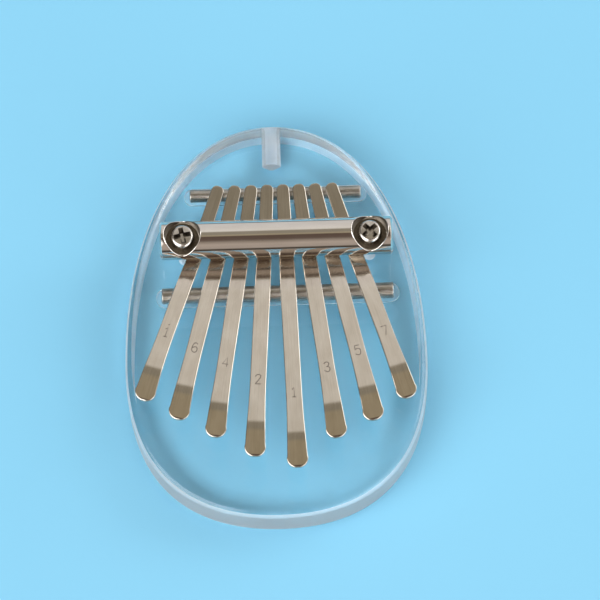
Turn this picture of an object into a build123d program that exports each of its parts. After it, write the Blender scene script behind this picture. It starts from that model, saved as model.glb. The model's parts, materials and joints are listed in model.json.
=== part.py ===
from build123d import *
import os
from math import cos, radians, sin, tan

# Eight-key mbira on an egg-shaped clear acrylic plate, in millimetres and degrees.
# The origin is under the middle of the plate. +Y runs to the narrow end, +Z is up,
# and the free ends of the tines point to -Y.

# --- Plate ---------------------------------------------------------------------
PLATE_LENGTH = 104.0
PLATE_WIDTH = 75.0
PLATE_THICK = 12.0
HEEL_LENGTH = 40.5  # from the blunt end to the widest line
HEEL_HANDLE = 0.65  # roundness of the blunt end, 0.552 is a plain ellipse
CROWN_HANDLE = 0.60  # roundness of the narrow end
EDGE_ROUND = 2.0

# --- Strap hole in the narrow end -----------------------------------------------
STRAP_HOLE_DIAMETER = 4.7
STRAP_HOLE_DEPTH = 10.0

# --- Bridges and pressure bar ---------------------------------------------------
HARP_X = 0.8  # the harp stands a little to the right of the middle of the plate
BAR_Y = 18.0
BAR_DIAMETER = 9.5
BAR_LENGTH = 57.7
BAR_CHAMFER = 0.5
FRONT_SPAN = 12.3  # from the bar to the front bridge
FRONT_BRIDGE_DIAMETER = 4.0
FRONT_BRIDGE_LENGTH = 57.7
REAR_SPAN = 14.6  # from the bar to the rear bridge
REAR_BRIDGE_DIAMETER = 3.2
REAR_BRIDGE_LENGTH = 43.0
BRIDGE_CHAMFER = 0.3
GROOVE_DEPTH = 0.8
GROOVE_SIDE_GAP = 0.6  # beside a bridge, on each side
GROOVE_END_GAP = 1.5  # past each end of a bridge
SEAT_GAP = 0.05  # under a bridge in its groove

# --- Screws ---------------------------------------------------------------------
SCREW_SPACING = 46.5
SCREW_DIAMETER = 2.9
SCREW_HEAD_DIAMETER = 6.0
SCREW_HEAD_HEIGHT = 2.5
SCREW_HEAD_ROUND = 1.2
SCREW_BITE = 8.0  # length of screw in the plate
BAR_HOLE_DIAMETER = 3.4
PLATE_HOLE_DIAMETER = 3.0
PLATE_HOLE_SPARE = 1.0  # hole left below the screw's tip
SEAT_DIAMETER = 9.2  # round seat for the head
SEAT_LEVEL = 1.1  # height of the seat above the bar's axis
RECESS_SPAN = 3.6
RECESS_WIDTH = 0.9
RECESS_DEPTH = 1.5
SCREW_TURNS = {"left_screw": 12.0, "right_screw": 42.0}

# --- Tines ----------------------------------------------------------------------
TINE_THICK = 0.9
TINE_REAR_WIDTH = 3.2
TINE_WIDTH = 4.0
TINE_TIP_WIDTH = 5.3
TINE_FLARE = 20.0  # length over which a tine widens to its tip
TINE_TIP_ROUND = 2.4
TINE_REAR_ROUND = 1.4
TINE_OVERHANG = 1.4  # behind the rear bridge's axis
TINE_DIP = 1.5  # how far the bar presses a tine below the rear bridge's crest
TINE_RISE = 5.0  # slope of the free part
TINE_BEND = 12.0  # bend radius at the bar, the bridge and the tip
TIP_LENGTH = 7.6  # the bent end of a tine
TIP_DROP = 8.0  # slope of the bent end, downwards
TINE_RUN_GAP = 0.42  # between a tine and the bar or a bridge
FAN_STEP = 5.15  # angle between neighbours
FAN_LEAN = 1.1  # turn of the whole fan towards -X
FAN_APEX = 42.8  # from the tines' rear ends back to where their lines meet
FREE_LENGTHS = [30.3, 35.0, 39.4, 44.4, 47.5, 40.2, 36.3, 31.2]  # from the front bridge
FLEX_OFFSET = 2.4  # from the front bridge's axis to the line where a tine flexes
FLEX_GAP = 0.12

# --- Places worked out from the sizes -------------------------------------------
HALF_LENGTH = PLATE_LENGTH / 2
WIDEST_Y = HEEL_LENGTH - HALF_LENGTH
GROOVE_FLOOR = PLATE_THICK - GROOVE_DEPTH
FRONT_BRIDGE_Y = BAR_Y - FRONT_SPAN
REAR_BRIDGE_Y = BAR_Y + REAR_SPAN
FRONT_CREST = GROOVE_FLOOR + SEAT_GAP + FRONT_BRIDGE_DIAMETER
REAR_CREST = GROOVE_FLOOR + SEAT_GAP + REAR_BRIDGE_DIAMETER

# Heights of a tine's underside over the rear bridge, under the bar, over the front bridge
OVER_REAR = REAR_CREST + TINE_RUN_GAP
UNDER_BAR = OVER_REAR - TINE_DIP
OVER_FRONT = FRONT_CREST + TINE_RUN_GAP

REAR_SLOPE = TINE_DIP / REAR_SPAN
FRONT_SLOPE = (OVER_FRONT - UNDER_BAR) / FRONT_SPAN
BEND_LIFT = TINE_BEND * (REAR_SLOPE + FRONT_SLOPE) ** 2 / 8  # the bend passes above its corner
BAR_AXIS_Z = UNDER_BAR + BEND_LIFT + TINE_THICK + TINE_RUN_GAP + BAR_DIAMETER / 2
SEAT_Z = BAR_AXIS_Z + SEAT_LEVEL
SCREW_TIP_Z = PLATE_THICK - SCREW_BITE

TINE_REAR_Y = REAR_BRIDGE_Y + TINE_OVERHANG
APEX_Y = TINE_REAR_Y + FAN_APEX
APEX_X = HARP_X + FAN_APEX * tan(radians(FAN_LEAN))


def save(part, name):
    part.label = name
    export_step(part, f"parts/{name}.step")


def egg_outline():
    """Draw the plate's outline: one curve for each quarter."""
    side = PLATE_WIDTH / 2
    top_handle = CROWN_HANDLE * (HALF_LENGTH - WIDEST_Y)
    foot_handle = HEEL_HANDLE * HEEL_LENGTH
    Bezier(
        (side, WIDEST_Y),
        (side, WIDEST_Y + top_handle),
        (side * CROWN_HANDLE, HALF_LENGTH),
        (0, HALF_LENGTH),
    )
    Bezier(
        (side, WIDEST_Y),
        (side, WIDEST_Y - foot_handle),
        (side * HEEL_HANDLE, -HALF_LENGTH),
        (0, -HALF_LENGTH),
    )
    mirror(about=Plane.YZ)


def make_plate():
    with BuildPart() as plate:
        with BuildSketch():
            with BuildLine():
                egg_outline()
            make_face()
        extrude(amount=PLATE_THICK)
        rims = plate.faces().filter_by(Axis.Z).edges()
        fillet(rims, EDGE_ROUND)

        for y, length, diameter in (
            (FRONT_BRIDGE_Y, FRONT_BRIDGE_LENGTH, FRONT_BRIDGE_DIAMETER),
            (REAR_BRIDGE_Y, REAR_BRIDGE_LENGTH, REAR_BRIDGE_DIAMETER),
        ):
            with BuildSketch(Plane.XY.offset(PLATE_THICK)):
                with Locations((HARP_X, y)):
                    SlotOverall(length + 2 * GROOVE_END_GAP, diameter + 2 * GROOVE_SIDE_GAP)
            extrude(amount=-GROOVE_DEPTH, mode=Mode.SUBTRACT)

        with Locations((HARP_X, BAR_Y, PLATE_THICK)):
            with GridLocations(SCREW_SPACING, 0, 2, 1):
                Hole(PLATE_HOLE_DIAMETER / 2, depth=SCREW_BITE + PLATE_HOLE_SPARE)

        with BuildSketch(Plane.XZ.offset(-HALF_LENGTH)):
            with Locations((0, PLATE_THICK / 2)):
                Circle(STRAP_HOLE_DIAMETER / 2)
        extrude(amount=STRAP_HOLE_DEPTH, mode=Mode.SUBTRACT)
    return plate.part


def make_rod(y, z, diameter, length, end_chamfer):
    """A round rod across the plate, centred on the harp."""
    with BuildPart() as rod:
        with BuildSketch(Plane.YZ.offset(HARP_X)):
            with Locations((y, z)):
                Circle(diameter / 2)
        extrude(amount=length / 2, both=True)
        chamfer(rod.faces().filter_by(Axis.X).edges(), end_chamfer)
    return rod.part


def make_pressure_bar():
    with BuildPart() as bar:
        add(make_rod(BAR_Y, BAR_AXIS_Z, BAR_DIAMETER, BAR_LENGTH, BAR_CHAMFER))
        with Locations((HARP_X, BAR_Y, BAR_AXIS_Z + BAR_DIAMETER / 2)):
            with GridLocations(SCREW_SPACING, 0, 2, 1):
                CounterBoreHole(
                    radius=BAR_HOLE_DIAMETER / 2,
                    counter_bore_radius=SEAT_DIAMETER / 2,
                    counter_bore_depth=BAR_DIAMETER / 2 - SEAT_LEVEL,
                )
    return bar.part


def make_screw(x, turn):
    """A pan-head screw with a cross recess, seated in the bar."""
    with BuildPart() as screw:
        with BuildSketch(Plane.XY.offset(SEAT_Z)):
            with Locations((x, BAR_Y)):
                Circle(SCREW_HEAD_DIAMETER / 2)
        extrude(amount=SCREW_HEAD_HEIGHT)
        crown = screw.edges().group_by(Axis.Z)[-1]
        fillet(crown, SCREW_HEAD_ROUND)
        with BuildSketch(Plane.XY.offset(SCREW_TIP_Z)):
            with Locations((x, BAR_Y)):
                Circle(SCREW_DIAMETER / 2)
        extrude(amount=SEAT_Z - SCREW_TIP_Z)
        with BuildSketch(Plane.XY.offset(SEAT_Z + SCREW_HEAD_HEIGHT)):
            with Locations(Location((x, BAR_Y, 0), (0, 0, turn))):
                Rectangle(RECESS_SPAN, RECESS_WIDTH)
                Rectangle(RECESS_WIDTH, RECESS_SPAN)
        extrude(amount=-RECESS_DEPTH, mode=Mode.SUBTRACT)
    return screw.part


class Tine:
    """Where one tine lies: along, its direction in plan, and foot, its point over the front bridge."""

    def __init__(self, index):
        fan_angle = FAN_STEP * (index - (len(FREE_LENGTHS) - 1) / 2) - FAN_LEAN
        self.stretch = 1 / cos(radians(fan_angle))
        self.along = Vector(sin(radians(fan_angle)), -cos(radians(fan_angle)), 0)
        self.across = Vector(cos(radians(fan_angle)), sin(radians(fan_angle)), 0)
        run = (APEX_Y - FRONT_BRIDGE_Y) * self.stretch
        self.foot = Vector(APEX_X, APEX_Y, 0) + self.along * run
        self.free_length = FREE_LENGTHS[index]
        self.rear = -(TINE_REAR_Y - FRONT_BRIDGE_Y) * self.stretch
        self.dip = -FRONT_SPAN * self.stretch
        flex_height = OVER_FRONT + FLEX_OFFSET * tan(radians(TINE_RISE)) + TINE_THICK / 2
        self.flex_point = self.foot + self.along * FLEX_OFFSET + Vector(0, 0, flex_height)

    def side_plane(self):
        return Plane(origin=self.foot, x_dir=self.along, z_dir=-self.across)

    def plan_plane(self):
        return Plane(origin=self.foot, x_dir=self.along, z_dir=(0, 0, 1))

    def cut_plane(self, offset):
        """A plane square to the tine at the flex line, moved along it."""
        return Plane(origin=self.flex_point, z_dir=self.along).offset(offset)


def side_outline(tine):
    """Draw the strip seen from the side, in the tine's own upright plane."""
    rear_height = OVER_REAR + TINE_OVERHANG * REAR_SLOPE
    bend = tine.free_length - TIP_LENGTH
    bend_height = OVER_FRONT + bend * tan(radians(TINE_RISE))
    tip_height = bend_height - TIP_LENGTH * tan(radians(TIP_DROP))
    FilletPolyline(
        (tine.rear, rear_height),
        (tine.dip, UNDER_BAR),
        (0, OVER_FRONT),
        (bend, bend_height),
        (tine.free_length, tip_height),
        radius=TINE_BEND,
    )
    offset(amount=TINE_THICK, side=Side.LEFT)


def make_blank(tine):
    """One whole tine: the bent strip, trimmed to its outline in plan."""
    half_rear = TINE_REAR_WIDTH / 2
    half_mid = TINE_WIDTH / 2
    half_tip = TINE_TIP_WIDTH / 2
    flare = tine.free_length - TINE_FLARE
    with BuildPart() as blank:
        with BuildSketch(tine.side_plane()):
            with BuildLine():
                side_outline(tine)
            make_face()
        extrude(amount=TINE_TIP_WIDTH, both=True)
        with BuildSketch(tine.plan_plane()) as plan:
            with BuildLine():
                Polyline(
                    (tine.rear, 0),
                    (tine.rear, half_rear),
                    (0, half_mid),
                    (flare, half_mid),
                    (tine.free_length, half_tip),
                    (tine.free_length, 0),
                )
                mirror(about=Plane.XZ)
            make_face()
            fillet(plan.vertices().group_by(Axis.X)[0], TINE_REAR_ROUND)
            fillet(plan.vertices().group_by(Axis.X)[-1], TINE_TIP_ROUND)
        extrude(amount=2 * PLATE_THICK, mode=Mode.INTERSECT)
    return blank.part


def make_root(tine, blank):
    """The held part of a tine, from its rear end to the flex line."""
    with BuildPart() as root:
        add(blank)
        split(bisect_by=tine.cut_plane(-FLEX_GAP / 2), keep=Keep.BOTTOM)
    return root.part


def make_tongue(tine, blank):
    """The free part of a tine, from the flex line to its tip."""
    with BuildPart() as tongue:
        add(blank)
        split(bisect_by=tine.cut_plane(FLEX_GAP / 2), keep=Keep.TOP)
    return tongue.part


os.makedirs("parts", exist_ok=True)

save(make_plate(), "plate")

front_axis_z = FRONT_CREST - FRONT_BRIDGE_DIAMETER / 2
front_bridge = make_rod(
    FRONT_BRIDGE_Y, front_axis_z, FRONT_BRIDGE_DIAMETER, FRONT_BRIDGE_LENGTH, BRIDGE_CHAMFER
)
save(front_bridge, "front_bridge")

rear_axis_z = REAR_CREST - REAR_BRIDGE_DIAMETER / 2
rear_bridge = make_rod(
    REAR_BRIDGE_Y, rear_axis_z, REAR_BRIDGE_DIAMETER, REAR_BRIDGE_LENGTH, BRIDGE_CHAMFER
)
save(rear_bridge, "rear_bridge")

save(make_pressure_bar(), "pressure_bar")

for side, name in ((-1, "left_screw"), (1, "right_screw")):
    save(make_screw(HARP_X + side * SCREW_SPACING / 2, SCREW_TURNS[name]), name)

tines = [Tine(index) for index in range(len(FREE_LENGTHS))]
for number, tine in enumerate(tines, start=1):
    blank = make_blank(tine)
    save(make_root(tine, blank), f"tine_{number}_root")
    save(make_tongue(tine, blank), f"tine_{number}_tongue")
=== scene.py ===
import json
import math

import bmesh
import bpy
import numpy as np
from mathutils import Matrix, Vector


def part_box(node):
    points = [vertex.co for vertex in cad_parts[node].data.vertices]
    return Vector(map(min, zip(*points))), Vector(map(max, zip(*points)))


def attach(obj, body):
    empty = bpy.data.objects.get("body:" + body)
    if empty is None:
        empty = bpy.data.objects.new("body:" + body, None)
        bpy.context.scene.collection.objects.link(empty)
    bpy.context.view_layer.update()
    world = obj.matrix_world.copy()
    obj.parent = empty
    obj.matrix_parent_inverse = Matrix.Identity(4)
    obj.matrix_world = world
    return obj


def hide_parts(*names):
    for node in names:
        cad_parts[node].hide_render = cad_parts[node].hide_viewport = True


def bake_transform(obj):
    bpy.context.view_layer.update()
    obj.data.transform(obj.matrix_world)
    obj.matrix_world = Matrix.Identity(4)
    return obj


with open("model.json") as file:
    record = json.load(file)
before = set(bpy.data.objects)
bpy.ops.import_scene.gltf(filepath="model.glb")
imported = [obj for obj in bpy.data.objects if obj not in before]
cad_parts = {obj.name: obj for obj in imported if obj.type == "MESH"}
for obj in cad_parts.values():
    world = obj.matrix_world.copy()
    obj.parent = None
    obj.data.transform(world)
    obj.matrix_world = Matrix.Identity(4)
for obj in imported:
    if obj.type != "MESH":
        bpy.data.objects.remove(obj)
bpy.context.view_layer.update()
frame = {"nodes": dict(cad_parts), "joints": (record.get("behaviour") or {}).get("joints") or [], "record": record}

MM = 0.001
JOINTS = {joint["name"]: joint for joint in frame["joints"]}

# --- Sizes that the frame doesn't hold, in metres -------------------------------
EDGE_ROUND = 2.0 * MM  # rounded rims of the plate
CLEAR_ROUND = 0.4 * MM  # the polish runs this far down over the rim
HEEL_HANDLE = 0.65  # roundness of the blunt end
CROWN_HANDLE = 0.60  # roundness of the narrow end
HEEL_LENGTH = 40.5 * MM  # from the blunt end to the widest line
GROOVE_DEPTH = 0.8 * MM
GROOVE_SIDE_GAP = 0.6 * MM
GROOVE_END_GAP = 1.5 * MM
SCREW_HOLE_RADIUS = 1.5 * MM
SCREW_HOLE_SPARE = 1.0 * MM
STRAP_SPARE = 3.0 * MM  # how far the strap hole's cutter stands out of the edge
STRAP_POINT = 0.9 * MM  # the drill's point at the bottom of the strap hole
SEAT_RADIUS = 4.6 * MM
SEAT_LEVEL = 1.1 * MM  # a seat's floor, above the bar's axis
SEAT_RING = 0.5 * MM  # the polished step round the seat's floor, which is painted dark as shade
SEAT_STEP = 0.12 * MM  # how far the floor painted dark as shade lies below that step
SEAT_BURR = 0.09 * MM  # radius of the bright burr round a seat's mouth
BAR_HOLE_RADIUS = 1.7 * MM
BAR_CHAMFER = 0.5 * MM
BAR_SOFTENING = 0.12 * MM  # rounding on both edges of the chamfer
BRIDGE_END_ROUND = 0.35 * MM
SCREW_HEAD_HEIGHT = 2.5 * MM
SCREW_DOME = 1.0 * MM
RECESS_SPAN = 4.4 * MM
RECESS_WIDTH = 1.25 * MM
RECESS_DEPTH = 1.6 * MM
RECESS_FLOOR = 0.50  # size of the recess at its floor, as a share of its mouth
THREAD_PITCH = 0.5 * MM
THREAD_DEPTH = 0.26 * MM
THREAD_POINT = 0.9 * MM  # length of the tapered point
THREAD_POINT_SIZE = 0.55  # radius of the point's end, as a share of the shank's

TINE_THICK = 0.9 * MM
TINE_REAR_WIDTH = 3.2 * MM
TINE_WIDTH = 4.0 * MM
TINE_TIP_WIDTH = 5.3 * MM
TINE_FLARE = 20.0 * MM  # length of the widening towards the tip
TINE_TIP_ROUND = 2.4 * MM
TINE_REAR_ROUND = 1.4 * MM
TINE_EDGE_ROUND = 0.22 * MM
TINE_DIP = 1.5 * MM  # drop from the rear bridge to the bar
TINE_RUN_GAP = 0.42 * MM  # between the rear bridge and the corner of the strip above it
TINE_BEND = 12.0 * MM  # radius of the bends
TINE_RISE = math.radians(5.0)
TIP_LENGTH = 7.6 * MM
TIP_DROP = math.radians(8.0)  # slope of the bent tip
FLEX_OFFSET = 2.4 * MM  # from the front bridge's axis to the flex line
NOTE_NUMBERS = "16421357"
HIGH_NOTE = 1  # the tine whose number has a dot above it
NUMBER_HEIGHT = 2.5 * MM
NUMBER_STROKE = 0.12 * MM  # radius of a stroke before it is pressed flat
NUMBER_FLATTEN = 0.12  # how much of the stroke's height is left
NUMBER_LIFT = 0.008 * MM
NUMBER_FROM_TIP = [n * MM for n in (18.6, 19.1, 19.6, 19.9, 19.3, 18.4, 18.6, 18.4)]


# --- Mesh helpers -----------------------------------------------------------------
def make_object(name, verts, faces, materials):
    """A new mesh object in the scene, with its faces turned outwards."""
    mesh = bpy.data.meshes.new(name)
    mesh.from_pydata([tuple(v) for v in verts], [], faces)
    bm = bmesh.new()
    bm.from_mesh(mesh)
    bmesh.ops.recalc_face_normals(bm, faces=bm.faces)
    bm.to_mesh(mesh)
    bm.free()
    obj = bpy.data.objects.new(name, mesh)
    bpy.context.scene.collection.objects.link(obj)
    for material in materials:
        mesh.materials.append(material)
    return obj


def ring_faces(ring_count, ring_size, first=0, capped=True):
    """Quads between rings of equal size, and a cap on each end."""
    faces = []
    for r in range(ring_count - 1):
        low = first + r * ring_size
        for k in range(ring_size):
            n = (k + 1) % ring_size
            faces.append((low + k, low + n, low + ring_size + n, low + ring_size + k))
    if capped:
        last = first + (ring_count - 1) * ring_size
        faces.append(tuple(first + k for k in reversed(range(ring_size))))
        faces.append(tuple(last + k for k in range(ring_size)))
    return faces


def lathe(name, profile, origin, axis, side, segments, materials):
    """Turn (distance along axis, radius) points into a closed round piece."""
    axis, side = Vector(axis), Vector(side)
    third = axis.cross(side)
    verts = []
    for distance, radius in profile:
        for k in range(segments):
            turn = 2 * math.pi * k / segments
            out = side * math.cos(turn) + third * math.sin(turn)
            verts.append(Vector(origin) + axis * distance + out * radius)
    return make_object(name, verts, ring_faces(len(profile), segments), materials)


def smooth(obj, angle=35.0):
    """Smooth shading that keeps real corners crisp and flat faces flat."""
    bm = bmesh.new()
    bm.from_mesh(obj.data)
    limit = math.radians(angle)
    for face in bm.faces:
        face.smooth = True
    for edge in bm.edges:
        edge.smooth = len(edge.link_faces) == 2 and edge.calc_face_angle(0) < limit
    bm.to_mesh(obj.data)
    bm.free()
    weighted = obj.modifiers.new("flat_faces", "WEIGHTED_NORMAL")
    weighted.keep_sharp = True
    return obj


def cut(obj, cutters):
    """Take the cutters out of obj and remove them. A cutter's faces keep its material."""
    for cutter in cutters:
        modifier = obj.modifiers.new("cut", "BOOLEAN")
        modifier.operation = "DIFFERENCE"
        modifier.solver = "EXACT"
        modifier.material_mode = "TRANSFER"
        modifier.object = cutter
    graph = bpy.context.evaluated_depsgraph_get()
    result = bpy.data.meshes.new_from_object(obj.evaluated_get(graph), depsgraph=graph)
    obj.modifiers.clear()
    old = obj.data
    result.name = old.name
    obj.data = result
    bpy.data.meshes.remove(old)
    for cutter in cutters:
        mesh = cutter.data
        bpy.data.objects.remove(cutter)
        bpy.data.meshes.remove(mesh)
    return obj


def join(target, others):
    """Add the other objects' meshes to target as separate shells."""
    bm = bmesh.new()
    bm.from_mesh(target.data)
    for other in others:
        bm.from_mesh(other.data)
        mesh = other.data
        bpy.data.objects.remove(other)
        bpy.data.meshes.remove(mesh)
    bm.to_mesh(target.data)
    bm.free()
    return target


# --- Material helpers -------------------------------------------------------------
class Nodes:
    """A material's node tree with short calls for the nodes used here."""

    def __init__(self, name):
        self.material = bpy.data.materials.new(name)
        self.material.use_nodes = True
        self.tree = self.material.node_tree
        self.shader = self.tree.nodes["Principled BSDF"]

    def add(self, kind, inputs=None, **settings):
        node = self.tree.nodes.new(kind)
        for key, value in settings.items():
            setattr(node, key, value)
        for key, value in (inputs or {}).items():
            if isinstance(value, bpy.types.NodeSocket):
                self.tree.links.new(value, node.inputs[key])
            else:
                node.inputs[key].default_value = value
        return node

    def place(self, scale):
        """The point in the object's own millimetres, stretched by scale on each axis."""
        where = self.add("ShaderNodeTexCoord")
        scaled = self.add("ShaderNodeMapping", {"Vector": where.outputs["Object"]})
        scaled.inputs["Scale"].default_value = [s / MM for s in scale]
        return scaled.outputs["Vector"]

    def along_strip(self, scale):
        """The point along, across and above a tine, in millimetres, stretched by scale."""
        where = self.add("ShaderNodeAttribute", attribute_name="strip")
        scaled = self.add("ShaderNodeMapping", {"Vector": where.outputs["Vector"]})
        scaled.inputs["Scale"].default_value = [s / MM for s in scale]
        return scaled.outputs["Vector"]

    def noise(self, vector, detail=3.0, scale=1.0, rough=0.5):
        made = self.add("ShaderNodeTexNoise", {"Vector": vector, "Scale": scale})
        made.inputs["Detail"].default_value = detail
        made.inputs["Roughness"].default_value = rough
        return made.outputs["Fac"]

    def ramp(self, factor, stops):
        """Map a factor through (place, grey or colour) stops."""
        made = self.add("ShaderNodeValToRGB", {"Fac": factor})
        ramp = made.color_ramp
        while len(ramp.elements) < len(stops):
            ramp.elements.new(0.5)
        for element, (place, value) in zip(ramp.elements, stops):
            colour = value if isinstance(value, tuple) else (value, value, value)
            element.position = place
            element.color = (*colour, 1.0)
        return made.outputs["Color"]

    def bump(self, height, strength, distance):
        made = self.add("ShaderNodeBump", {"Height": height, "Strength": strength})
        made.inputs["Distance"].default_value = distance
        self.set("Normal", made.outputs["Normal"])

    def multiply(self, first, second):
        made = self.add("ShaderNodeMath", {0: first, 1: second}, operation="MULTIPLY")
        return made.outputs["Value"]

    def blend(self, factor, first, second):
        made = self.add("ShaderNodeMix", {"Factor": factor}, data_type="RGBA")
        self._feed(made.inputs[6], first)
        self._feed(made.inputs[7], second)
        return made.outputs[2]

    def _feed(self, socket, value):
        if isinstance(value, bpy.types.NodeSocket):
            self.tree.links.new(value, socket)
        else:
            socket.default_value = (*value, 1.0)

    def set(self, name, value):
        socket = self.shader.inputs[name]
        if isinstance(value, bpy.types.NodeSocket):
            self.tree.links.new(value, socket)
        else:
            socket.default_value = value


# --- Materials --------------------------------------------------------------------
REFLECTED_FLOOR = 0.18  # metal sees the floor lit as far as this from the object


def clear_acrylic():
    """Polished cast acrylic with soft patches of slight haze."""
    m = Nodes("clear_acrylic")
    m.set("Base Color", (0.98, 0.995, 0.995, 1.0))
    m.set("Transmission Weight", 1.0)
    m.set("IOR", 1.49)
    smudge = m.noise(m.place((0.11, 0.11, 0.11)), detail=4.0)
    m.set("Roughness", m.ramp(smudge, [(0.45, 0.0), (0.75, 0.035)]))
    return m.material


def frosted_acrylic():
    """Cut acrylic as the mill or drill leaves it: white and scattering, with fine tool marks."""
    m = Nodes("frosted_acrylic")
    m.set("Transmission Weight", 0.45)
    m.set("IOR", 1.49)
    marks = m.noise(m.place((3.0, 3.0, 9.0)), detail=5.0, rough=0.7)
    cloud = m.noise(m.place((0.6, 0.6, 0.6)), detail=3.0)
    m.set("Base Color", m.ramp(cloud, [(0.3, (0.72, 0.79, 0.86)), (0.7, (0.82, 0.88, 0.94))]))
    m.set("Roughness", m.ramp(cloud, [(0.3, 0.38), (0.7, 0.58)]))
    m.bump(marks, 0.35, 0.05 * MM)
    return m.material


def satin_acrylic(name, transmission):
    """Sanded or milled acrylic: faintly milky, with soft patches."""
    m = Nodes(name)
    m.set("Transmission Weight", transmission)
    m.set("IOR", 1.49)
    patch = m.noise(m.place((0.10, 0.10, 0.30)), detail=3.0)
    m.set("Base Color", m.ramp(patch, [(0.3, (0.97, 0.97, 0.98)), (0.7, (1.0, 1.0, 1.0))]))
    m.set("Roughness", m.ramp(patch, [(0.3, 0.36), (0.7, 0.50)]))
    return m.material


def tine_steel():
    """Nickel-plated spring steel, brushed along its length, with a warm cast and faint wear."""
    m = Nodes("tine_steel")
    m.set("Metallic", 1.0)
    brush = m.noise(m.along_strip((0.06, 9.0, 1.0)), detail=4.0, rough=0.65)
    fine = m.noise(m.along_strip((0.25, 26.0, 1.0)), detail=2.0)
    cloud = m.noise(m.along_strip((0.16, 0.35, 1.0)), detail=3.0)
    tone = m.ramp(cloud, [(0.3, (0.62, 0.57, 0.50)), (0.7, (0.70, 0.655, 0.59))])
    streak = m.ramp(brush, [(0.3, (0.86, 0.85, 0.83)), (0.65, (1.0, 1.0, 1.0))])
    mixed = m.add("ShaderNodeMix", {"Factor": 1.0}, data_type="RGBA", blend_type="MULTIPLY")
    m.tree.links.new(tone, mixed.inputs[6])
    m.tree.links.new(streak, mixed.inputs[7])
    m.set("Base Color", mixed.outputs[2])
    m.set("Roughness", m.ramp(brush, [(0.25, 0.09), (0.75, 0.16)]))
    m.bump(fine, 0.06, 0.02 * MM)
    return m.material


def bar_chrome():
    """Bright nickel-chrome plate with a faint orange peel and hairline scratches."""
    m = Nodes("bar_chrome")
    m.set("Metallic", 1.0)
    cloud = m.noise(m.place((0.10, 0.4, 0.4)), detail=4.0)
    hair = m.noise(m.place((0.25, 14.0, 14.0)), detail=3.0, rough=0.7)
    m.set("Base Color", m.ramp(cloud, [(0.3, (0.70, 0.665, 0.62)), (0.7, (0.76, 0.73, 0.69))]))
    m.set("Roughness", m.ramp(hair, [(0.35, 0.05), (0.75, 0.13)]))
    m.bump(hair, 0.04, 0.01 * MM)
    return m.material


def painted_shade_steel():
    """Painted shade: near-black steel with turning marks, put on a seat's wall and floor, the bar's bolt holes and
    the screws' recesses to stand in for the shade in these hollows.
    """
    m = Nodes("painted_shade_steel")
    m.set("Metallic", 1.0)
    grain = m.noise(m.place((3.0, 3.0, 3.0)), detail=4.0)
    m.set("Base Color", m.ramp(grain, [(0.3, (0.085, 0.068, 0.048)), (0.7, (0.17, 0.145, 0.11))]))
    m.set("Roughness", m.ramp(grain, [(0.3, 0.28), (0.7, 0.42)]))
    return m.material


def bridge_steel():
    """Drawn steel rod, nickel plated, with draw lines and a few dull patches."""
    m = Nodes("bridge_steel")
    m.set("Metallic", 1.0)
    lines = m.noise(m.place((0.12, 12.0, 12.0)), detail=4.0, rough=0.7)
    patch = m.noise(m.place((0.35, 0.7, 0.7)), detail=4.0)
    m.set("Base Color", m.ramp(patch, [(0.32, (0.33, 0.315, 0.28)), (0.68, (0.48, 0.455, 0.42))]))
    m.set("Roughness", m.ramp(lines, [(0.3, 0.22), (0.7, 0.36)]))
    m.bump(lines, 0.10, 0.02 * MM)
    return m.material


def screw_steel():
    """Nickel-plated screw, tumbled, with random darker patches; the dark hollows of its recess are painted shade
    from the seat material.
    """
    m = Nodes("screw_steel")
    m.set("Metallic", 1.0)
    grain = m.noise(m.place((2.2, 2.2, 2.2)), detail=5.0, rough=0.65)
    patch = m.noise(m.place((0.8, 0.8, 0.8)), detail=3.0)
    m.set("Base Color", m.ramp(patch, [(0.3, (0.50, 0.47, 0.425)), (0.7, (0.66, 0.625, 0.58))]))
    m.set("Roughness", m.ramp(grain, [(0.3, 0.16), (0.7, 0.30)]))
    m.bump(grain, 0.22, 0.03 * MM)
    return m.material


def stamped_mark():
    """The dull dark strokes of a note number."""
    m = Nodes("stamped_mark")
    m.set("Metallic", 0.7)
    grain = m.noise(m.place((4.0, 4.0, 4.0)), detail=3.0)
    m.set("Base Color", m.ramp(grain, [(0.3, (0.15, 0.125, 0.10)), (0.7, (0.27, 0.235, 0.20))]))
    m.set("Roughness", m.ramp(grain, [(0.3, 0.45), (0.7, 0.65)]))
    return m.material


def floor_card():
    """Plain pale card with the faintest mottle. Painted reflection: metal sees the card only near the object and a
    near-black floor beyond it.
    """
    m = Nodes("floor_card")
    tone = m.noise(m.place((0.004, 0.004, 0.004)), detail=2.0)
    card = m.ramp(tone, [(0.35, (0.202, 0.508, 0.716)), (0.65, (0.209, 0.517, 0.727))])
    where = m.add("ShaderNodeTexCoord")
    away = m.add("ShaderNodeVectorMath", {0: where.outputs["Object"]}, operation="LENGTH")
    far = m.add("ShaderNodeMapRange", {"Value": away.outputs["Value"]})
    far.inputs["From Min"].default_value = REFLECTED_FLOOR
    far.inputs["From Max"].default_value = REFLECTED_FLOOR + 0.08
    path = m.add("ShaderNodeLightPath")
    dark = m.multiply(far.outputs["Result"], path.outputs["Is Reflection Ray"])
    # painted shade in reflections: reflected rays see the floor past REFLECTED_FLOOR near black
    m.set("Base Color", m.blend(dark, card, (0.06, 0.05, 0.04)))
    m.set("Roughness", 0.6)
    m.set("Specular IOR Level", 0.25)
    return m.material


ACRYLIC = clear_acrylic()
FROSTED = frosted_acrylic()
SATIN = satin_acrylic("satin_acrylic", 0.78)
MILLED = satin_acrylic("milled_acrylic", 0.93)
TINE_STEEL = tine_steel()
BAR_CHROME = bar_chrome()
SHADE_STEEL = painted_shade_steel()
BRIDGE_STEEL = bridge_steel()
SCREW_STEEL = screw_steel()
MARK = stamped_mark()


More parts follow.
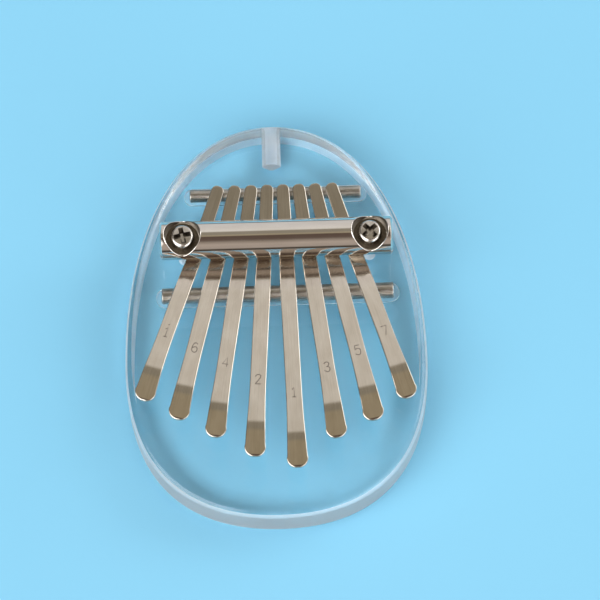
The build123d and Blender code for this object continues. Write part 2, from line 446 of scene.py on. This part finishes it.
# --- Plate ------------------------------------------------------------------------
def egg_outline(low, high, steps=64):
    """Points and outward normals round the plate, from the right-hand side, one way round."""
    side = high.x
    widest = low.y + HEEL_LENGTH
    top = CROWN_HANDLE * (high.y - widest)
    foot = HEEL_HANDLE * HEEL_LENGTH
    crown = [(side, widest), (side, widest + top), (side * CROWN_HANDLE, high.y), (0, high.y)]
    heel = [(side, widest), (side, widest - foot), (side * HEEL_HANDLE, low.y), (0, low.y)]
    t = np.arange(steps)[:, None] / steps

    def quarter(handles, t):
        p = np.array(handles, float)
        here = (1 - t) ** 3 * p[0] + 3 * (1 - t) ** 2 * t * p[1]
        here += 3 * (1 - t) * t**2 * p[2] + t**3 * p[3]
        run = (1 - t) ** 2 * (p[1] - p[0]) + 2 * (1 - t) * t * (p[2] - p[1])
        run += t**2 * (p[3] - p[2])
        return here, run / np.linalg.norm(run, axis=1)[:, None]

    flip = np.array([-1.0, 1.0])
    a, run_a = quarter(crown, t)
    b, run_b = quarter(crown, 1 - t)
    c, run_c = quarter(heel, t)
    d, run_d = quarter(heel, 1 - t)
    points = np.vstack([a, b * flip, c * flip, d])
    runs = np.vstack([run_a, -run_b * flip, run_c * flip, -run_d])
    normals = np.stack([runs[:, 1], -runs[:, 0]], axis=1)
    return points, normals


def slot_cutter(name, node, depth_from):
    """A stadium-shaped cutter for a bridge's groove."""
    low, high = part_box(node)
    half_width = (high.y - low.y) / 2 + GROOVE_SIDE_GAP
    reach = (high.x - low.x) / 2 + GROOVE_END_GAP - half_width
    centre = (low + high) / 2
    rim = []
    for k in range(48):
        turn = 2 * math.pi * (k + 0.5) / 48
        shift = reach if math.cos(turn) > 0 else -reach
        x = centre.x + shift + half_width * math.cos(turn)
        rim.append((x, centre.y + half_width * math.sin(turn)))
    floor = depth_from - GROOVE_DEPTH
    verts = [(x, y, floor) for x, y in rim] + [(x, y, depth_from + 2 * MM) for x, y in rim]
    return make_object(name, verts, ring_faces(2, len(rim)), [MILLED])


def make_plate():
    low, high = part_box("plate")
    points, normals = egg_outline(low, high)
    rings = []
    round_steps = 8
    for k in range(round_steps + 1):
        turn = math.pi / 2 * k / round_steps
        rings.append((EDGE_ROUND * (1 - math.sin(turn)), low.z + EDGE_ROUND * (1 - math.cos(turn))))
    rings += [(inset, high.z - z) for inset, z in reversed(rings)]
    verts = []
    for inset, z in rings:
        for (x, y), (nx, ny) in zip(points, normals):
            verts.append((x - nx * inset, y - ny * inset, z))
    plate = make_object("plate_body", verts, ring_faces(len(rings), len(points)), [ACRYLIC, SATIN])
    for face in plate.data.polygons:
        below_top = high.z - max(plate.data.vertices[v].co.z for v in face.vertices)
        face.material_index = 1 if len(face.vertices) == 4 and below_top > CLEAR_ROUND else 0

    cutters = [
        slot_cutter("front_groove", "front_bridge", high.z),
        slot_cutter("rear_groove", "rear_bridge", high.z),
    ]
    for name in ("left_screw", "right_screw"):
        screw_low, screw_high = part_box(name)
        middle = (screw_low + screw_high) / 2
        deep = screw_low.z - SCREW_HOLE_SPARE
        profile = [(0, 0.05 * MM), (0.7 * MM, SCREW_HOLE_RADIUS)]
        profile.append((high.z + MM - deep, SCREW_HOLE_RADIUS))
        origin = (middle.x, middle.y, deep)
        cutters.append(lathe(name + "_hole", profile, origin, (0, 0, 1), (1, 0, 0), 40, [FROSTED]))
    strap = next(m for m in frame["record"]["mounts"] if m["name"] == "strap_hole")
    radius = strap["dims"]["r_mm"] * MM
    half = strap["dims"]["length_mm"] * MM / 2
    mouth = Vector(strap["pos_m"]) + Vector((0, half + STRAP_SPARE, 0))
    bottom = 2 * half + STRAP_SPARE
    profile = [(0, radius), (bottom, radius), (bottom + STRAP_POINT, 0.25 * radius)]
    cutters.append(lathe("strap_cut", profile, mouth, (0, -1, 0), (1, 0, 0), 56, [FROSTED]))
    cut(plate, cutters)
    smooth(plate, 28.0)
    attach(plate, "board")
    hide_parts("plate")


# --- Bridges ----------------------------------------------------------------------
def make_bridge(node):
    """A drawn rod with softly rounded ends."""
    low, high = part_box(node)
    radius = (high.z - low.z) / 2
    round_off = BRIDGE_END_ROUND
    length = high.x - low.x
    profile = [(0, radius - 1.6 * round_off)]
    for k in range(5):
        turn = math.pi / 2 * k / 4
        profile.append((round_off * (1 - math.cos(turn)), radius - round_off * (1 - math.sin(turn))))
    profile += [(length - d, r) for d, r in reversed(profile)]
    origin = (low.x, (low.y + high.y) / 2, (low.z + high.z) / 2)
    rod = lathe(node + "_rod", profile, origin, (1, 0, 0), (0, 0, 1), 72, [BRIDGE_STEEL])
    smooth(rod)
    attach(rod, "board")
    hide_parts(node)


# --- Pressure bar -----------------------------------------------------------------
def seat_rim(x, axis_y, axis_z, bar_radius):
    """The thin polished burr where a screw's seat breaks out of the round bar."""
    steps, sides = 128, 8
    verts = []
    for k in range(steps):
        turn = 2 * math.pi * k / steps
        y = SEAT_RADIUS * math.sin(turn)
        centre = Vector((x + SEAT_RADIUS * math.cos(turn), axis_y + y, axis_z))
        centre.z += math.sqrt(bar_radius**2 - y**2)
        out = Vector((math.cos(turn), math.sin(turn), 0))
        for j in range(sides):
            lean = 2 * math.pi * j / sides
            swell = out * math.cos(lean) + Vector((0, 0, math.sin(lean)))
            verts.append(centre + swell * SEAT_BURR)
    faces = []
    for k in range(steps):
        for j in range(sides):
            a, b = k * sides + j, k * sides + (j + 1) % sides
            c, d = ((k + 1) % steps) * sides + (j + 1) % sides, ((k + 1) % steps) * sides + j
            faces.append((a, b, c, d))
    return make_object("rim", verts, faces, [BAR_CHROME])


def make_bar():
    low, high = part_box("pressure_bar")
    radius = (high.y - low.y) / 2
    axis_y, axis_z = (low.y + high.y) / 2, high.z - radius
    chamfer, soft = BAR_CHAMFER, BAR_SOFTENING
    length = high.x - low.x
    half = [
        (0, radius - chamfer - 2 * soft),
        (0, radius - chamfer - soft),
        (0.3 * soft, radius - chamfer - 0.3 * soft),
        (chamfer - 0.7 * soft, radius - 0.7 * soft),
        (chamfer + 0.1 * soft, radius - 0.1 * soft),
        (chamfer + soft, radius),
    ]
    profile = half + [(length - d, r) for d, r in reversed(half)]
    bar = lathe("bar_body", profile, (low.x, axis_y, axis_z), (1, 0, 0), (0, 0, 1), 192, [BAR_CHROME])
    cutters, rims = [], []
    for name in ("left_screw", "right_screw"):
        screw_low, screw_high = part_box(name)
        x = (screw_low.x + screw_high.x) / 2
        seat = (x, axis_y, axis_z + SEAT_LEVEL)
        through = (x, axis_y, axis_z - 2 * radius)
        up, out = (0, 0, 1), (1, 0, 0)
        seat_profile = [(0, SEAT_RADIUS), (2 * radius, SEAT_RADIUS)]
        shaded_floor_profile = [(-SEAT_STEP, SEAT_RADIUS - SEAT_RING), (radius, SEAT_RADIUS - SEAT_RING)]
        hole_profile = [(0, BAR_HOLE_RADIUS), (4 * radius, BAR_HOLE_RADIUS)]
        # The seat's wall, its floor inside the polished step and the bolt hole take painted shade: the dark steel
        # stands in for the shade in these hollows.
        cutters.append(lathe("seat_cut", seat_profile, seat, up, out, 96, [BAR_CHROME, SHADE_STEEL]))
        for face in cutters[-1].data.polygons:
            face.material_index = 1 if len(face.vertices) == 4 else 0
        cutters.append(lathe("shaded_floor_cut", shaded_floor_profile, seat, up, out, 96, [SHADE_STEEL]))
        cutters.append(lathe("hole_cut", hole_profile, through, up, out, 48, [SHADE_STEEL]))
        rims.append(seat_rim(x, axis_y, axis_z, radius))
    cut(bar, cutters)
    join(bar, rims)
    smooth(bar, 30.0)
    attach(bar, "board")
    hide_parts("pressure_bar")


# --- Screws -----------------------------------------------------------------------
def cross_recess(centre, turn):
    """A tapered cross, wider at the top, for the driver."""
    s, w = RECESS_SPAN / 2, RECESS_WIDTH / 2
    plan = [(w, s), (w, w), (s, w), (s, -w), (w, -w), (w, -s)]
    plan += [(-x, -y) for x, y in plan]
    verts = []
    for scale, z in ((RECESS_FLOOR, -RECESS_DEPTH), (1.0, 0.0), (1.12, 0.8 * MM)):
        for x, y in plan:
            px = scale * (x * math.cos(turn) - y * math.sin(turn))
            py = scale * (x * math.sin(turn) + y * math.cos(turn))
            verts.append((centre.x + px, centre.y + py, centre.z + z))
    # Painted shade: the recess's walls take the dark seat steel for the shade inside the cross; the floor keeps
    # the screw's own steel.
    recess = make_object("recess", verts, ring_faces(3, len(plan)), [SCREW_STEEL, SHADE_STEEL])
    for face in recess.data.polygons:
        face.material_index = 1 if len(face.vertices) == 4 else 0
    return recess


def threaded_shank(centre, bottom, top, radius):
    """A right-hand thread cut on the shank, fading in over a short point."""
    sides, steps_per_turn = 36, 8
    rows = int((top - bottom) / THREAD_PITCH * steps_per_turn)
    verts = []
    for row in range(rows + 1):
        z = bottom + (top - bottom) * row / rows
        grown = (z - bottom) / THREAD_POINT
        point = min(1.0, THREAD_POINT_SIZE + (1 - THREAD_POINT_SIZE) * grown)
        for k in range(sides):
            phase = ((z - bottom) / THREAD_PITCH - k / sides) % 1.0
            ridge = 1 - abs(2 * phase - 1)
            r = (radius - THREAD_DEPTH * (1 - ridge)) * point
            turn = 2 * math.pi * k / sides
            verts.append((centre.x + r * math.cos(turn), centre.y + r * math.sin(turn), z))
    return make_object("shank", verts, ring_faces(rows + 1, sides), [SCREW_STEEL])


def make_screw(node, turn):
    low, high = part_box(node)
    centre = (low + high) / 2
    radius = (high.x - low.x) / 2
    seat = high.z - SCREW_HEAD_HEIGHT
    dome = SCREW_DOME
    profile = [(0, radius - 0.15 * MM), (0.12 * MM, radius)]
    profile.append((SCREW_HEAD_HEIGHT - dome - 0.15 * MM, radius))
    for k in range(1, 9):
        lean = math.pi / 2 * k / 8
        rise = (dome - 0.12 * MM) * math.sin(lean)
        profile.append((SCREW_HEAD_HEIGHT - dome + rise, radius - dome * (1 - math.cos(lean))))
    profile.append((SCREW_HEAD_HEIGHT, 0.35 * radius))
    origin = (centre.x, centre.y, seat)
    screw = lathe(node + "_head", profile, origin, (0, 0, 1), (1, 0, 0), 96, [SCREW_STEEL])
    cut(screw, [cross_recess(Vector((centre.x, centre.y, high.z)), turn)])
    shank = threaded_shank(centre, low.z, seat + 0.1 * MM, SCREW_HOLE_RADIUS - 0.05 * MM)
    join(screw, [shank])
    smooth(screw, 32.0)
    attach(screw, "board")
    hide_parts(node)


# --- Tines ------------------------------------------------------------------------
def strip_corners(number):
    """Where the strip's underside turns, as (distance from the flex line, height) points."""
    pluck = JOINTS[f"tine_{number}_pluck"]
    flex = Vector(pluck["pos_m"])
    across = Vector(pluck["axis"])
    along = across.cross(Vector((0, 0, 1)))
    stretch = 1 / abs(along.y)

    def reach(node, pick):
        return pick((v.co - flex).dot(along) for v in frame["nodes"][node].data.vertices)

    def middle_y(node):
        low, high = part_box(node)
        return (low.y + high.y) / 2

    rear = reach(f"tine_{number}_root", min)
    tip = reach(f"tine_{number}_tongue", max)
    bridge, bar, rear_bridge = (middle_y(n) for n in ("front_bridge", "pressure_bar", "rear_bridge"))
    over_bridge = flex.z - TINE_THICK / 2 - FLEX_OFFSET * math.tan(TINE_RISE)
    over_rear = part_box("rear_bridge")[1].z + TINE_RUN_GAP
    under_bar = over_rear - TINE_DIP
    dip = -FLEX_OFFSET - (bar - bridge) * stretch
    rear_slope = TINE_DIP / ((rear_bridge - bar) * stretch)
    bend = tip - TIP_LENGTH
    bend_height = over_bridge + (bend + FLEX_OFFSET) * math.tan(TINE_RISE)
    corners = [
        (rear, under_bar + (dip - rear) * rear_slope),
        (dip, under_bar),
        (-FLEX_OFFSET, over_bridge),
        (bend, bend_height),
        (tip, bend_height - TIP_LENGTH * math.tan(TIP_DROP)),
    ]
    return flex, along, across, corners


def underside(corners, s):
    """Height and slope of the strip's underside at distance s, with rounded bends."""
    slopes = [(b[1] - a[1]) / (b[0] - a[0]) for a, b in zip(corners, corners[1:])]
    for k in range(1, len(corners) - 1):
        place, height = corners[k]
        before, after = slopes[k - 1], slopes[k]
        half = TINE_BEND * abs(math.tan((math.atan(after) - math.atan(before)) / 2))
        if abs(s - place) <= half:
            run = s - place + half
            turn = (after - before) / (4 * half)
            return height - before * half + before * run + turn * run**2, before + 2 * turn * run
        if s < place:
            return height + before * (s - place), before
    place, height = corners[-1]
    return height + slopes[-1] * (s - place), slopes[-1]


def half_outline(rear, tip):
    """One side of a tine in plan, from its rear end's middle to its tip's middle."""
    points = [(rear, 0.02 * MM)]
    half_rear, half_mid, half_tip = TINE_REAR_WIDTH / 2, TINE_WIDTH / 2, TINE_TIP_WIDTH / 2
    for k in range(9):
        turn = math.pi / 2 * k / 8
        back = TINE_REAR_ROUND * (1 - math.cos(turn))
        points.append((rear + back, half_rear - TINE_REAR_ROUND * (1 - math.sin(turn))))
    start, end = rear + TINE_REAR_ROUND, tip - TINE_TIP_ROUND
    bridge, flare = -FLEX_OFFSET, tip - TINE_FLARE
    steps = int((end - start) / (0.45 * MM))
    for k in range(1, steps):
        s = start + (end - start) * k / steps
        if s < bridge:
            w = half_rear + (half_mid - half_rear) * (s - rear) / (bridge - rear)
        else:
            open_up = max(0.0, (s - flare) / TINE_FLARE)
            eased = open_up * open_up * (1.6 - 0.6 * open_up)
            w = half_mid + (half_tip - half_mid) * eased
        points.append((s, w))
    for k in range(11):
        turn = math.pi / 2 * k / 10
        forward, inward = math.sin(turn), 1 - math.cos(turn)
        points.append((end + TINE_TIP_ROUND * forward, half_tip - TINE_TIP_ROUND * inward))
    points.append((tip, 0.02 * MM))
    return np.array(points)


def make_tine(number):
    """One bent strip with rounded edges, from its rear end to its tip."""
    flex, along, across, corners = strip_corners(number)
    outline = half_outline(corners[0][0], corners[-1][0])
    run = np.gradient(outline, axis=0)
    run /= np.linalg.norm(run, axis=1)[:, None]
    normal = np.stack([-run[:, 1], run[:, 0]], axis=1)
    normal[0] = normal[1] = (-1, 0)
    normal[-1] = (1, 0)
    levels = []
    for k in range(5):
        turn = math.pi / 2 * k / 4
        levels.append((TINE_EDGE_ROUND * (1 - math.sin(turn)), TINE_EDGE_ROUND * (1 - math.cos(turn))))
    levels += [(inset, TINE_THICK - lift) for inset, lift in reversed(levels)]
    verts, strip = [], []
    for (s, w), (ns, nw) in zip(outline, normal):
        ring = [(s - ns * inset, w - nw * inset, lift) for inset, lift in levels]
        ring += [(a, -b, lift) for a, b, lift in reversed(ring)]
        for a, b, lift in ring:
            height, slope = underside(corners, a)
            point = flex + along * a + across * b
            point.z = height + lift * math.sqrt(1 + slope * slope)
            verts.append(point)
            strip.append((a, b + number * 7 * MM, lift))
    size = 2 * len(levels)
    tine = make_object(f"tine_{number}_strip", verts, ring_faces(len(outline), size), [TINE_STEEL])
    layer = tine.data.attributes.new("strip", "FLOAT_VECTOR", "POINT")
    layer.data.foreach_set("vector", np.array(strip, np.float32).ravel())
    smooth(tine, 40.0)
    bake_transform(tine)
    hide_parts(f"tine_{number}_root", f"tine_{number}_tongue")
    return flex, along, across, corners


# Single strokes on a cell 1 wide and 1.7 high, as points for smooth or straight lines.
STROKES = {
    "1": [("line", [(0.2, 1.35), (0.52, 1.7), (0.52, 0.0)]),
          ("line", [(0.2, 0.0), (0.84, 0.0)])],
    "2": [("curve", [(0.05, 1.3), (0.12, 1.62), (0.5, 1.74), (0.92, 1.6), (0.92, 1.2),
                     (0.6, 0.75), (0.05, 0.0)]),
          ("line", [(0.05, 0.0), (0.98, 0.0)])],
    "3": [("curve", [(0.08, 1.45), (0.3, 1.75), (0.85, 1.7), (0.92, 1.25), (0.7, 0.92), (0.4, 0.9)]),
          ("curve", [(0.4, 0.9), (0.85, 0.88), (1.02, 0.5), (0.85, -0.02), (0.3, -0.08), (0.04, 0.3)])],
    "4": [("line", [(0.78, 0.0), (0.78, 1.7), (0.02, 0.48), (1.02, 0.48)])],
    "5": [("line", [(0.92, 1.7), (0.2, 1.7), (0.12, 0.95)]),
          ("curve", [(0.12, 0.95), (0.4, 1.15), (0.9, 1.05), (1.04, 0.5), (0.8, -0.05),
                     (0.3, -0.05), (0.02, 0.25)])],
    "6": [("curve", [(0.88, 1.5), (0.62, 1.78), (0.2, 1.6), (0.02, 0.9), (0.06, 0.25), (0.35, -0.06),
                     (0.8, 0.0), (1.0, 0.5), (0.8, 0.98), (0.4, 1.02), (0.08, 0.7)])],
    "7": [("line", [(0.04, 1.7), (0.98, 1.7), (0.42, 0.0)])],
}


def make_number(number, placed):
    """The note number across a tine, as flattened strokes a hair proud, read from the tip."""
    flex, along, across, corners = placed
    label = NOTE_NUMBERS[number - 1]
    unit = NUMBER_HEIGHT / 1.7
    centre = corners[-1][0] - NUMBER_FROM_TIP[number - 1]
    curve = bpy.data.curves.new("strokes", "CURVE")
    curve.dimensions = "3D"
    curve.bevel_depth = NUMBER_STROKE
    curve.bevel_resolution = 2
    curve.use_fill_caps = True
    strokes = list(STROKES[label])
    if number == HIGH_NOTE:
        strokes.append(("line", [(0.40, 2.3), (0.60, 2.3)]))
        strokes.append(("line", [(0.5, 2.2), (0.5, 2.4)]))
    for kind, points in strokes:
        spline = curve.splines.new("NURBS" if kind == "curve" else "POLY")
        spline.points.add(len(points) - 1)
        for target, (x, y) in zip(spline.points, points):
            target.co = ((x - 0.5) * unit, (y - 0.85) * unit, 0, 1)
        if kind == "curve":
            spline.order_u = 3
            spline.use_endpoint_u = True
            spline.resolution_u = 8
    shape = bpy.data.objects.new("strokes", curve)
    bpy.context.scene.collection.objects.link(shape)
    graph = bpy.context.evaluated_depsgraph_get()
    mesh = bpy.data.meshes.new_from_object(shape.evaluated_get(graph), depsgraph=graph)
    bpy.data.objects.remove(shape)
    bpy.data.curves.remove(curve)
    for vertex in mesh.vertices:
        x, y, z = vertex.co
        s = centre - y
        height, slope = underside(corners, s)
        point = flex + along * s + across * x
        point.z = height + TINE_THICK * math.sqrt(1 + slope * slope) + NUMBER_LIFT + NUMBER_FLATTEN * z
        vertex.co = point
    mesh.materials.clear()
    mesh.materials.append(MARK)
    mark = bpy.data.objects.new(f"tine_{number}_number", mesh)
    bpy.context.scene.collection.objects.link(mark)
    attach(mark, f"tine_{number}_free")


# --- Stage, light and camera ------------------------------------------------------
FLOOR_RADIUS = 6.0
FLOOR_DROP = 0.03 * MM
CAMERA_TARGET = Vector((6.28, 4.23, 12.0)) * MM
CAMERA_ELEVATION = math.radians(69.26)
CAMERA_ROLL = math.radians(-1.61)
CAMERA_DISTANCE = 0.9
CAMERA_LENS = 216.8


def make_floor():
    """A round pale card, a hair below the plate so that the two faces don't coincide."""
    sides = 96
    verts = []
    for k in range(sides):
        turn = 2 * math.pi * k / sides
        verts.append((FLOOR_RADIUS * math.cos(turn), FLOOR_RADIUS * math.sin(turn), -FLOOR_DROP))
    floor = make_object("floor", verts, [tuple(range(sides))], [floor_card()])


WINDOW = (-0.60, -0.45, 0.66)  # where the main soft light comes from
WINDOW_COLOUR = (4.5, 4.46, 4.42)
LAMP = (0.78, 0.35, 0.50)  # a smaller one that brightens right-hand edges
LAMP_COLOUR = (4.0, 3.97, 3.94)
RIGHT_WALL = (1.1, 1.09, 1.08)
LEFT_WALL = (0.14, 0.13, 0.12)
FRONT_CORNERS = (3.2, 3.18, 3.16)
BACKDROP = (0.27, 0.64, 0.87)  # what the camera sees past the floor
# Brightness of the room by its angle from straight overhead, towards the rear, in degrees.
ROOM = [
    (-180, (0.10, 0.08, 0.06)),
    (-84, (0.06, 0.05, 0.04)),
    (-76, (0.46, 0.39, 0.34)),
    (-52, (0.50, 0.42, 0.36)),
    (-40, (0.36, 0.30, 0.25)),
    (-25, (0.14, 0.10, 0.08)),
    (-4, (0.13, 0.09, 0.07)),
    (1, (0.43, 0.365, 0.255)),
    (4, (0.42, 0.355, 0.25)),
    (11, (0.31, 0.28, 0.225)),
    (24, (0.34, 0.30, 0.24)),
    (28, (0.82, 0.78, 0.72)),
    (36, (0.84, 0.80, 0.75)),
    (44, (0.80, 0.76, 0.73)),
    (92, (0.72, 0.70, 0.70)),
    (100, (0.20, 0.18, 0.16)),
    (180, (0.10, 0.08, 0.06)),
]


def make_world():
    """A soft studio room: bands of light overhead, a bright right wall, a dim left one, two lamps."""
    world = bpy.data.worlds.new("room")
    bpy.context.scene.world = world
    world.use_nodes = True
    tree = world.node_tree
    tree.nodes.clear()

    def add(kind, **settings):
        node = tree.nodes.new(kind)
        for key, value in settings.items():
            setattr(node, key, value)
        return node

    def math_node(operation, first, second=None):
        node = add("ShaderNodeMath", operation=operation)
        for socket, value in zip(node.inputs, (first, second)):
            if isinstance(value, bpy.types.NodeSocket):
                tree.links.new(value, socket)
            elif value is not None:
                socket.default_value = value
        return node.outputs["Value"]

    where = add("ShaderNodeTexCoord")
    split = add("ShaderNodeSeparateXYZ")
    tree.links.new(where.outputs["Generated"], split.inputs["Vector"])
    x, y, z = split.outputs
    angle = math_node("ARCTAN2", y, z)
    place = math_node("ADD", math_node("DIVIDE", angle, 2 * math.pi), 0.5)
    ramp = add("ShaderNodeValToRGB")
    tree.links.new(place, ramp.inputs["Fac"])
    stops = ramp.color_ramp.elements
    while len(stops) < len(ROOM):
        stops.new(0.5)
    for stop, (degrees, colour) in zip(stops, ROOM):
        stop.position = degrees / 360 + 0.5
        stop.color = (*colour, 1.0)

    def zone(value, low, high, colour, under):
        """Fade from the colours so far to another one, as value goes from low to high."""
        fade = add("ShaderNodeMapRange", interpolation_type="SMOOTHSTEP")
        tree.links.new(value, fade.inputs["Value"])
        fade.inputs["From Min"].default_value = low
        fade.inputs["From Max"].default_value = high
        mix = add("ShaderNodeMix", data_type="RGBA")
        tree.links.new(fade.outputs["Result"], mix.inputs["Factor"])
        tree.links.new(under, mix.inputs[6])
        mix.inputs[7].default_value = (*colour, 1.0)
        return mix.outputs[2]

    def towards(direction):
        facing = add("ShaderNodeVectorMath", operation="DOT_PRODUCT")
        tree.links.new(where.outputs["Generated"], facing.inputs[0])
        facing.inputs[1].default_value = Vector(direction).normalized()
        return facing.outputs["Value"]

    colour = zone(x, 0.30, 0.60, RIGHT_WALL, ramp.outputs["Color"])
    colour = zone(math_node("MULTIPLY", x, -1), 0.25, 0.55, LEFT_WALL, colour)
    ahead = math_node("MULTIPLY", math_node("MINIMUM", y, 0), -1)
    beside = math_node("MULTIPLY", math_node("ABSOLUTE", x), ahead)
    colour = zone(beside, 0.20, 0.34, FRONT_CORNERS, colour)
    colour = zone(towards(LAMP), 0.93, 0.97, LAMP_COLOUR, colour)
    colour = zone(towards(WINDOW), 0.84, 0.95, WINDOW_COLOUR, colour)

    room = add("ShaderNodeBackground")
    tree.links.new(colour, room.inputs["Color"])
    backdrop = add("ShaderNodeBackground")
    backdrop.inputs["Color"].default_value = (*BACKDROP, 1.0)
    path = add("ShaderNodeLightPath").outputs
    straight = math_node("ADD", path["Is Camera Ray"], path["Is Transmission Ray"])
    turned = math_node("ADD", path["Diffuse Depth"], path["Glossy Depth"])
    choose = add("ShaderNodeMixShader")
    tree.links.new(math_node("GREATER_THAN", straight, turned), choose.inputs["Fac"])
    tree.links.new(room.outputs["Background"], choose.inputs[1])
    tree.links.new(backdrop.outputs["Background"], choose.inputs[2])
    output = add("ShaderNodeOutputWorld")
    tree.links.new(choose.outputs["Shader"], output.inputs["Surface"])


def make_camera():
    look = Vector((0, math.cos(CAMERA_ELEVATION), -math.sin(CAMERA_ELEVATION)))
    level = Vector((1, 0, 0))
    upright = level.cross(look)
    turn_c, turn_s = math.cos(CAMERA_ROLL), math.sin(CAMERA_ROLL)
    right = level * turn_c + upright * turn_s
    up = upright * turn_c - level * turn_s
    data = bpy.data.cameras.new("camera")
    data.sensor_width = 36.0
    data.lens = CAMERA_LENS
    data.clip_start, data.clip_end = 0.05, 100.0
    camera = bpy.data.objects.new("camera", data)
    bpy.context.scene.collection.objects.link(camera)
    placed = Matrix((right, up, -look)).transposed().to_4x4()
    placed.translation = CAMERA_TARGET - look * CAMERA_DISTANCE
    camera.matrix_world = placed
    bpy.context.scene.camera = camera


make_plate()
make_bridge("front_bridge")
make_bridge("rear_bridge")
make_bar()
make_screw("left_screw", math.radians(12))
make_screw("right_screw", math.radians(42))
for tine_number in range(1, len(NOTE_NUMBERS) + 1):
    make_number(tine_number, make_tine(tine_number))
make_floor()
make_world()
make_camera()
bpy.context.scene.view_settings.view_transform = "Standard"
bpy.context.scene.cycles.blur_glossy = 0.0  # keeps the floor lit through the clear plate
